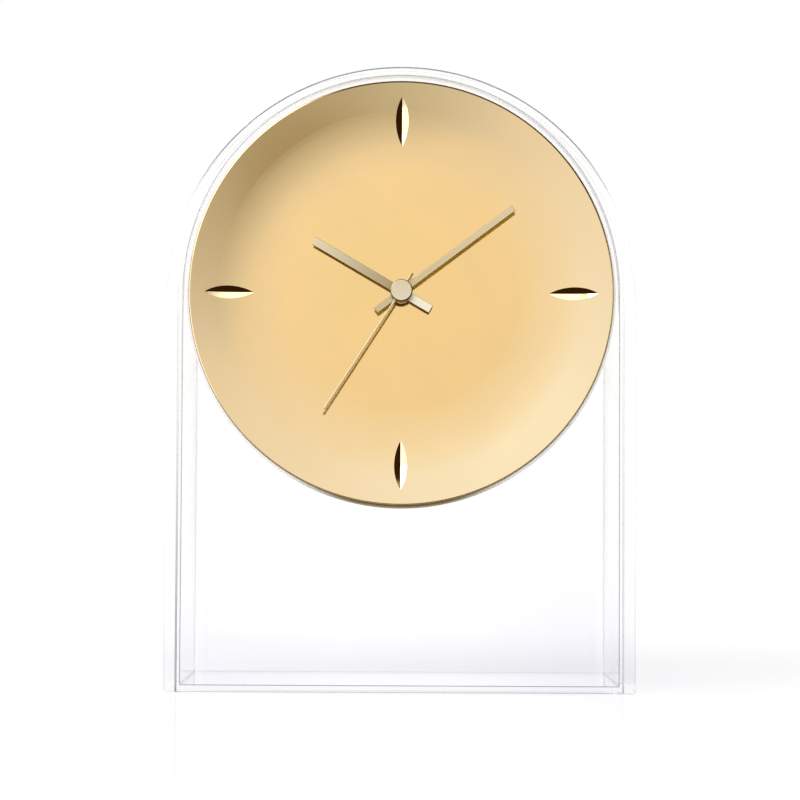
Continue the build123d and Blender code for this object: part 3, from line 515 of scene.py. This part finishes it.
def plated_finish(name, dark, light, rough, grain_scale, stretch=(1, 1, 1), metallic=1.0, bump=0.0):
    """Metal or plastic with two close tones, a soft unevenness and a fine grain."""
    material, tree, surface, own = new_material(name)
    surface.inputs["Metallic"].default_value = metallic
    worked = place_group(tree, finish_tone, own, Scale=grain_scale, Stretch=stretch, Grain=0.4)
    tone = worked.outputs["Mask"]
    join(tree, blend(tree, tone, dark, light), surface.inputs["Base Color"])
    join(tree, spread(tree, tone, 0.0, 1.0, rough[0], rough[1]), surface.inputs["Roughness"])
    if bump:
        add_bump(tree, surface, worked.outputs["Height"], bump, 0.4)
    return material


def coil_finish():
    """Enamelled copper wire in close turns along the coil, with painted shade in the grooves between turns.
    """
    material, tree, surface, own = new_material("coil_wire")
    surface.inputs["Metallic"].default_value = 1.0
    along = split(tree, own)[0]
    turns = math_step(tree, "SINE", math_step(tree, "MULTIPLY", along, 2 * math.pi / WIRE_PITCH))
    film = place_group(tree, soft_clouds, own, Scale=300.0, Contrast=1.4)
    shade = blend(tree, film.outputs["Mask"], (0.55, 0.20, 0.08), (0.80, 0.38, 0.18))
    # Painted shade: dark colour in the grooves between the turns
    groove_shade = spread(tree, turns, -1.0, 0.2, 0.45, 0.0)
    join(tree, blend(tree, groove_shade, shade, (0.12, 0.04, 0.02)), surface.inputs["Base Color"])
    join(tree, spread(tree, film.outputs["Mask"], 0.0, 1.0, 0.2, 0.34), surface.inputs["Roughness"])
    add_bump(tree, surface, turns, 0.00008, 0.5)
    return material


def battery_finish():
    """Plain shrink sleeve with a bright metal end."""
    material, tree, surface, own = new_material("battery_sleeve")
    along = split(tree, own)[0]
    low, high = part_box("battery")
    metal = spread(tree, along, high[0] - 0.0026, high[0] - 0.0022, 0.0, 1.0)
    foot = spread(tree, along, low[0] + 0.0006, low[0] + 0.0009, 1.0, 0.0)
    bare = math_step(tree, "MAXIMUM", metal, foot)
    band = spread(tree, along, high[0] - 0.0142, high[0] - 0.0138, 0.0, 1.0)
    film = place_group(tree, soft_clouds, own, Scale=120.0, Contrast=1.5)
    body = blend(tree, film.outputs["Mask"], (0.045, 0.05, 0.06), (0.065, 0.07, 0.085))
    sleeve = blend(tree, band, body, (0.55, 0.43, 0.22))
    join(tree, blend(tree, bare, sleeve, (0.72, 0.72, 0.70)), surface.inputs["Base Color"])
    join(tree, bare, surface.inputs["Metallic"])
    join(tree, spread(tree, film.outputs["Mask"], 0.0, 1.0, 0.22, 0.34), surface.inputs["Roughness"])
    return material


# Tones of the hands by their distance from the axis in millimetres, darker near the hub as painted shade,
# then of back, sides and bevels, all darkened as painted shade
PALE = (0.80, 0.68, 0.45)
CREAM = (1.0, 0.92, 0.72)
BEIGE = (0.70, 0.56, 0.33)
GREY = (0.42, 0.325, 0.165)
HAND_SIDE_SHADE = (0.10, 0.075, 0.03)
HAND_BEVEL_SHADE = (0.24, 0.195, 0.11)
HAND_TONES = {
    "hour_hand": (
        [(-16, CREAM), (-8, CREAM), (6, GREY), (22, (0.56, 0.46, 0.285)), (48, PALE)],
        (0.42, 0.42, 0.03),
        HAND_SIDE_SHADE,
        HAND_BEVEL_SHADE,
    ),
    "minute_hand": (
        [(-15, (0.64, 0.52, 0.31)), (10, BEIGE), (67, (0.775, 0.64, 0.41))],
        (0.52, 0.58, 0.15),
        HAND_SIDE_SHADE,
        HAND_BEVEL_SHADE,
    ),
    "second_hand": (
        [(-10, (0.2, 0.16, 0.09)), (-2, GREY), (8, BEIGE), (67, (0.72, 0.6, 0.42))],
        (0.34, 0.40, 0.14),
        (0.26, 0.21, 0.07),
        (0.50, 0.40, 0.24),
    ),
    "hub_cap": (
        [(-5, (0.82, 0.715, 0.53)), (5, (0.77, 0.655, 0.465))],
        (0.30, 0.24, 0.10),
        (0.06, 0.038, 0.022),
        HAND_BEVEL_SHADE,
    ),
}
# The tints given to the two acrylics are painted shade towards their foot
FINISHES = {
    "outer_arch": acrylic_finish("arch_acrylic", 0.003, (0.82, 0.81, 0.86), arch_lines),
    "inner_case": acrylic_finish("case_acrylic", 0.003, (0.89, 0.885, 0.955), case_lines),
    "dial_dish": dial_gold(),
    "coil_winding": coil_finish(),
    "battery": battery_finish(),
}
for hand, turn in HAND_TURNS.items():
    FINISHES[hand] = hand_finish(hand + "_champagne", turn, *HAND_TONES[hand])

GOLD_DRUM = plated_finish(
    "drum_gold", (0.80, 0.55, 0.24), (0.92, 0.66, 0.32), (0.16, 0.26), 900.0, bump=0.00001)
BRASS = plated_finish(
    "turned_brass", (0.66, 0.46, 0.18), (0.84, 0.64, 0.32), (0.18, 0.32), 2500.0, (1, 0.1, 1), bump=0.00001)
STEEL = plated_finish(
    "plated_steel", (0.46, 0.46, 0.47), (0.66, 0.66, 0.67), (0.2, 0.34), 2500.0, (1, 1, 0.2), bump=0.00001)
BLACK = plated_finish(
    "moulded_black", (0.012, 0.012, 0.013), (0.026, 0.026, 0.028), (0.42, 0.58), 3000.0,
    metallic=0.0, bump=0.00003)
WHITE = plated_finish(
    "moulded_white", (0.70, 0.69, 0.65), (0.82, 0.81, 0.77), (0.34, 0.48), 2000.0,
    metallic=0.0, bump=0.00001)
BOARD = plated_finish(
    "board_lacquer", (0.02, 0.12, 0.05), (0.035, 0.19, 0.08), (0.25, 0.4), 1800.0, metallic=0.0)
RUBBER = plated_finish(
    "washer_rubber", (0.018, 0.018, 0.018), (0.035, 0.034, 0.033), (0.7, 0.85), 2600.0,
    metallic=0.0, bump=0.00003)
BY_SLOT = {
    "gold_metallised": GOLD_DRUM,
    "brass": BRASS,
    "steel": STEEL,
    "black_plastic": BLACK,
    "white_plastic": WHITE,
    "board_green": BOARD,
    "rubber": RUBBER,
}
for entry in frame["record"]["subparts"]:
    name = entry["node"]
    finish = FINISHES.get(name) or BY_SLOT[entry["material_slot"]]
    mesh = pieces[name].data
    mesh.materials.clear()
    mesh.materials.append(finish)


# Clear case in a fine mesh, so that its polished edges draw clean lines

HALF_ARCH_STEPS = 360
LEG_STEPS = 30
TOE_STEPS = 6
FLOOR_STEPS = 30
ROUND_STEPS = 5
BACKWARD = Vector((0.0, 1.0, 0.0))


def half_outline(half, spring, foot, toe, rounded):
    """Points (x, z) of the left half of an upright arch, from its foot to the crown."""
    points = []
    for step in range(TOE_STEPS):
        turn = math.pi / 2 * step / TOE_STEPS
        inset = toe * (1 - math.sin(turn)) if rounded else 0.0
        points.append((inset - half, foot + toe * (1 - math.cos(turn))))
    for step in range(LEG_STEPS):
        points.append((-half, foot + toe + (spring - foot - toe) * step / LEG_STEPS))
    for step in range(HALF_ARCH_STEPS + 1):
        turn = math.pi / 2 * step / HALF_ARCH_STEPS
        points.append((-half * math.cos(turn), spring + half * math.sin(turn)))
    return points


def both_halves(points):
    return points + [(-x, z) for x, z in reversed(points[:-1])]


def polished_edge(corner, one, other, radius):
    """Quarter round between two faces that leave a corner along one and other."""
    centre = corner + radius * (one + other)
    turns = [math.pi / 2 * step / ROUND_STEPS for step in range(ROUND_STEPS + 1)]
    return [centre - radius * (other * math.cos(turn) + one * math.sin(turn)) for turn in turns]


def section(outer, inner):
    """Outer and inner point of a wall's section, and the way across it."""
    outside = Vector((outer[0], 0.0, outer[1]))
    inside = Vector((inner[0], 0.0, inner[1]))
    return outside, inside, (inside - outside).normalized()


def clear_mesh(name, shape, node):
    """Object of a clear piece that stands for its solid."""
    bmesh.ops.recalc_face_normals(shape, faces=shape.faces[:])
    mesh = bpy.data.meshes.new(name)
    shape.to_mesh(mesh)
    shape.free()
    mesh.materials.append(FINISHES[node])
    piece = bpy.data.objects.new(name, mesh)
    scene.collection.objects.link(piece)
    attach(piece, "case")
    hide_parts(node)


def build_arch():
    """Outer arch: thick legs, a thin crown, flat feet."""
    outer = both_halves(half_outline(ARCH_HALF, ARCH_SPRING, 0.0, FOOT_ROUND, True))
    inner = both_halves(half_outline(ARCH_HALF - LEG_T, DIAL_AXIS[2], 0.0, FOOT_ROUND, False))
    shape = bmesh.new()
    loops = []
    for outer_point, inner_point in zip(outer, inner):
        outside, inside, across = section(outer_point, inner_point)
        front, back = BACKWARD * FRONT_Y, BACKWARD * BACK_Y
        points = polished_edge(outside + front, BACKWARD, across, EDGE_ROUND)
        points += polished_edge(inside + front, -across, BACKWARD, JOINT_ROUND)
        points += polished_edge(inside + back, -BACKWARD, -across, REAR_ROUND)
        points += polished_edge(outside + back, across, -BACKWARD, REAR_ROUND)
        loops.append([shape.verts.new(point) for point in points])
    for here, ahead in zip(loops, loops[1:]):
        for spot in range(len(here)):
            shape.faces.new((here[spot - 1], here[spot], ahead[spot], ahead[spot - 1]))
    shape.faces.new(loops[0])
    shape.faces.new(loops[-1])
    clear_mesh("clear_arch", shape, "outer_arch")


def hole_rings(shape, x, z, stations, count):
    """Rings of points round a hole, one for each (radius, y) station, with the walls between them."""
    rings = []
    for radius, y in stations:
        ring = []
        for step in range(count):
            turn = 2 * math.pi * step / count
            ring.append(shape.verts.new((x + radius * math.cos(turn), y, z + radius * math.sin(turn))))
        rings.append(ring)
    for here, ahead in zip(rings, rings[1:]):
        for step in range(count):
            shape.faces.new((here[step - 1], here[step], ahead[step], ahead[step - 1]))
    return rings[0], rings[-1]


def fill_wall(shape, rings):
    """Flat wall inside the first ring, with the other rings left open."""
    edges = []
    for ring in rings:
        for step in range(len(ring)):
            pair = (ring[step - 1], ring[step])
            edges.append(shape.edges.get(pair) or shape.edges.new(pair))
    bmesh.ops.triangle_fill(shape, use_beauty=True, use_dissolve=False, edges=edges)


def build_case():
    """Inner case: walls, floor and a rear wall with the well and four countersunk holes."""
    bay = CASE_HALF - CASE_WALL
    outer = both_halves(half_outline(CASE_HALF, DIAL_AXIS[2], 0.0, CORNER_ROUND, False))
    inner = both_halves(half_outline(bay, DIAL_AXIS[2], CASE_FLOOR, CORNER_ROUND, True))
    for step in range(1, FLOOR_STEPS):
        share = 1 - 2 * step / FLOOR_STEPS
        outer.append((CASE_HALF * share, 0.0))
        inner.append(((bay - CORNER_ROUND) * share, CASE_FLOOR))
    rear_in = BACK_Y - CASE_REAR
    shape = bmesh.new()
    chains = []
    for outer_point, inner_point in zip(outer, inner):
        outside, inside, across = section(outer_point, inner_point)
        front, back = BACKWARD * FRONT_Y, BACKWARD * BACK_Y
        points = polished_edge(outside + back, across, -BACKWARD, REAR_ROUND)
        points += polished_edge(outside + front, BACKWARD, across, JOINT_ROUND)
        points += polished_edge(inside + front, -across, BACKWARD, EDGE_ROUND)
        points.append(inside + BACKWARD * rear_in)
        chains.append([shape.verts.new(point) for point in points])
    for spot in range(len(chains)):
        here, ahead = chains[spot - 1], chains[spot]
        for step in range(len(here) - 1):
            shape.faces.new((here[step], here[step + 1], ahead[step + 1], ahead[step]))
    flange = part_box("movement_drum")[1][0]
    behind = [[chain[0] for chain in chains]]
    inside = [[chain[-1] for chain in chains]]
    reach = flange - WELL_INSET
    well = hole_rings(shape, 0.0, DIAL_AXIS[2], [(reach, BACK_Y), (reach, rear_in)], 160)
    behind.append(well[0])
    inside.append(well[1])
    for turn in (45, 135, 225, 315):
        x = (flange - SCREW_INSET) * math.cos(math.radians(turn))
        z = DIAL_AXIS[2] + (flange - SCREW_INSET) * math.sin(math.radians(turn))
        sink = [(SCREW_HEAD, BACK_Y), (SCREW_SHANK, BACK_Y - SINK_DEPTH), (SCREW_SHANK, rear_in)]
        hole = hole_rings(shape, x, z, sink, 32)
        behind.append(hole[0])
        inside.append(hole[1])
    fill_wall(shape, behind)
    fill_wall(shape, inside)
    clear_mesh("clear_case", shape, "inner_case")


build_arch()
build_case()


# Studio: white behind the clock, a soft window of light at the upper left in front, dark to the lower right

def studio_world():
    """Room seen by mirror rays and through the acrylic, and plain white to the camera."""
    world = bpy.data.worlds.new("studio")
    world.use_nodes = True
    scene.world = world
    tree = world.node_tree
    sky = tree.nodes["Background"]
    way = tree.nodes.new("ShaderNodeTexCoord").outputs["Generated"]
    x, y, z = split(tree, way)
    rise = math_step(tree, "MULTIPLY", math_step(tree, "SUBTRACT", z, 0.09), 1.1)
    across = math_step(tree, "SUBTRACT", math_step(tree, "MULTIPLY", x, 0.9), rise)
    steep = spread(tree, y, -0.88, -0.70, 1.0, 4.0, True)
    shade = spread(tree, math_step(tree, "MULTIPLY", across, steep), -1.414, 1.414, 0.0, 1.0)

    def at(side):
        return 0.5 + side / 2

    front = ramp(tree, shade, [
        (at(-0.62), (2.3, 2.3, 2.4)),
        (at(-0.42), (1.25, 1.32, 1.45)),
        (at(-0.29), (1.11, 1.19, 1.30)),
        (at(-0.13), (1.04, 1.06, 1.08)),
        (at(0.0), (1.0, 1.0, 1.0)),
        (at(0.095), (0.95, 0.93, 0.89)),
        (at(0.155), (0.82, 0.83, 0.81)),
        (at(0.295), (0.60, 0.58, 0.49)),
        (at(0.33), (0.47, 0.42, 0.31)),
        (at(0.45), (0.15, 0.12, 0.08)),
        (at(0.6), (0.034, 0.014, 0.006)),
    ])
    window = new_node(tree, "ShaderNodeVectorMath")
    window.operation = "DOT_PRODUCT"
    join(tree, way, window.inputs[0])
    window.inputs[1].default_value = (-0.93, 0.0, 0.36)
    left = spread(tree, window.outputs["Value"], 0.6, 0.85, 0.0, 1.0, True)
    sides = blend(tree, left, (0.06, 0.052, 0.042), (1.3, 1.3, 1.3))
    turned = spread(tree, y, -0.5, -0.3, 0.0, 1.0, True)
    behind = spread(tree, y, 0.7, 0.85, 0.0, 1.0, True)
    room = blend(tree, behind, blend(tree, turned, front, sides), (1.0, 1.0, 1.0))
    through = ramp(tree, spread(tree, y, -1.0, 1.0, 0.0, 1.0), [
        (0.0, (0.7, 0.7, 0.71)),
        (0.35, (0.75, 0.75, 0.76)),
        (0.55, (1.03, 1.03, 1.03)),
    ])
    path = tree.nodes.new("ShaderNodeLightPath")
    glass = blend(tree, path.outputs["Is Transmission Ray"], room, through)
    join(tree, blend(tree, path.outputs["Is Camera Ray"], glass, (1.0, 1.0, 1.0)), sky.inputs["Color"])


def floor_finish():
    """Pale table: white to the camera, its glow a little lower near the clock as painted shade, with the
    clock's soft shadow and a faint gloss.
    """
    material, tree, surface, own = new_material("pale_table")
    film = place_group(tree, soft_clouds, own, Scale=3.0, Contrast=1.2)
    pale = blend(tree, film.outputs["Mask"], (0.80, 0.80, 0.81), (0.84, 0.84, 0.85))
    join(tree, pale, surface.inputs["Base Color"])
    surface.inputs["Roughness"].default_value = 0.5
    path = tree.nodes.new("ShaderNodeLightPath")
    apart = tree.nodes.new("ShaderNodeVectorMath")
    apart.operation = "LENGTH"
    join(tree, own, apart.inputs[0])
    # Painted shade: the glow is lower near the clock than far from it
    far = spread(tree, apart.outputs["Value"], 0.1, 0.55, 0.0, 1.0, True)
    glow = new_node(tree, "ShaderNodeEmission")
    join(tree, blend(tree, far, (0.69, 0.69, 0.695), (0.755, 0.755, 0.755)), glow.inputs["Color"])
    matte = new_node(tree, "ShaderNodeBsdfDiffuse", Color=(0.345, 0.345, 0.352, 1.0))
    lit = tree.nodes.new("ShaderNodeAddShader")
    join(tree, glow.outputs[0], lit.inputs[0])
    join(tree, matte.outputs[0], lit.inputs[1])
    gloss = new_node(tree, "ShaderNodeBsdfGlossy", Color=(1.0, 1.0, 1.0, 1.0), Roughness=0.06)
    grazing = new_node(tree, "ShaderNodeFresnel", IOR=1.15)
    shown = tree.nodes.new("ShaderNodeMixShader")
    join(tree, math_step(tree, "MINIMUM", grazing.outputs[0], 0.22), shown.inputs[0])
    join(tree, lit.outputs[0], shown.inputs[1])
    join(tree, gloss.outputs[0], shown.inputs[2])
    seen = math_step(tree, "MAXIMUM", path.outputs["Is Camera Ray"], path.outputs["Is Transmission Ray"])
    mix = tree.nodes.new("ShaderNodeMixShader")
    join(tree, seen, mix.inputs[0])
    join(tree, surface.outputs[0], mix.inputs[1])
    join(tree, shown.outputs[0], mix.inputs[2])
    join(tree, mix.outputs[0], tree.nodes["Material Output"].inputs["Surface"])
    return material


def lay_floor():
    """Table top under the clock, on all sides."""
    half = 4.0
    level = -0.0002
    mesh = bpy.data.meshes.new("table_top")
    corners = [(-half, -half, level), (half, -half, level), (half, half, level), (-half, half, level)]
    mesh.from_pydata(corners, [], [(0, 1, 2, 3)])
    floor = bpy.data.objects.new("table_top", mesh)
    mesh.materials.append(floor_finish())
    scene.collection.objects.link(floor)
    floor.visible_glossy = False


def hang_lamp(name, place, aim, size, power):
    light = bpy.data.lights.new(name, "AREA")
    light.shape = "DISK"
    light.size = size
    light.energy = power
    lamp = bpy.data.objects.new(name, light)
    lamp.location = place
    lamp.rotation_euler = (Vector(aim) - Vector(place)).to_track_quat("-Z", "Y").to_euler()
    scene.collection.objects.link(lamp)


def set_camera():
    """Camera of the photograph: almost straight from the front, a little below the dial."""
    pitch, yaw, roll = (math.radians(angle) for angle in (2.2984, 0.1383, 0.2986))
    forward = Vector((math.sin(yaw) * math.cos(pitch), math.cos(yaw) * math.cos(pitch), math.sin(pitch)))
    level = Vector((math.cos(yaw), -math.sin(yaw), 0.0))
    upright = level.cross(forward)
    right = math.cos(roll) * level + math.sin(roll) * upright
    up = math.cos(roll) * upright - math.sin(roll) * level
    lens = bpy.data.cameras.new("photo_camera")
    lens.sensor_width = 36.0
    lens.lens = 96.213
    lens.clip_start = 0.01
    camera = bpy.data.objects.new("photo_camera", lens)
    turn = Matrix((right, up, -forward)).transposed().to_4x4()
    camera.matrix_world = Matrix.Translation((-0.002869, -1.056911, 0.098505)) @ turn
    scene.collection.objects.link(camera)
    scene.camera = camera


studio_world()
lay_floor()
hang_lamp("soft_window", (-0.85, -0.75, 0.95), (0.0, 0.0, 0.15), 1.1, 9.0)
set_camera()
scene.view_settings.view_transform = "Standard"
scene.cycles.glossy_bounces = 48
scene.cycles.transmission_bounces = 64
scene.cycles.max_bounces = 96
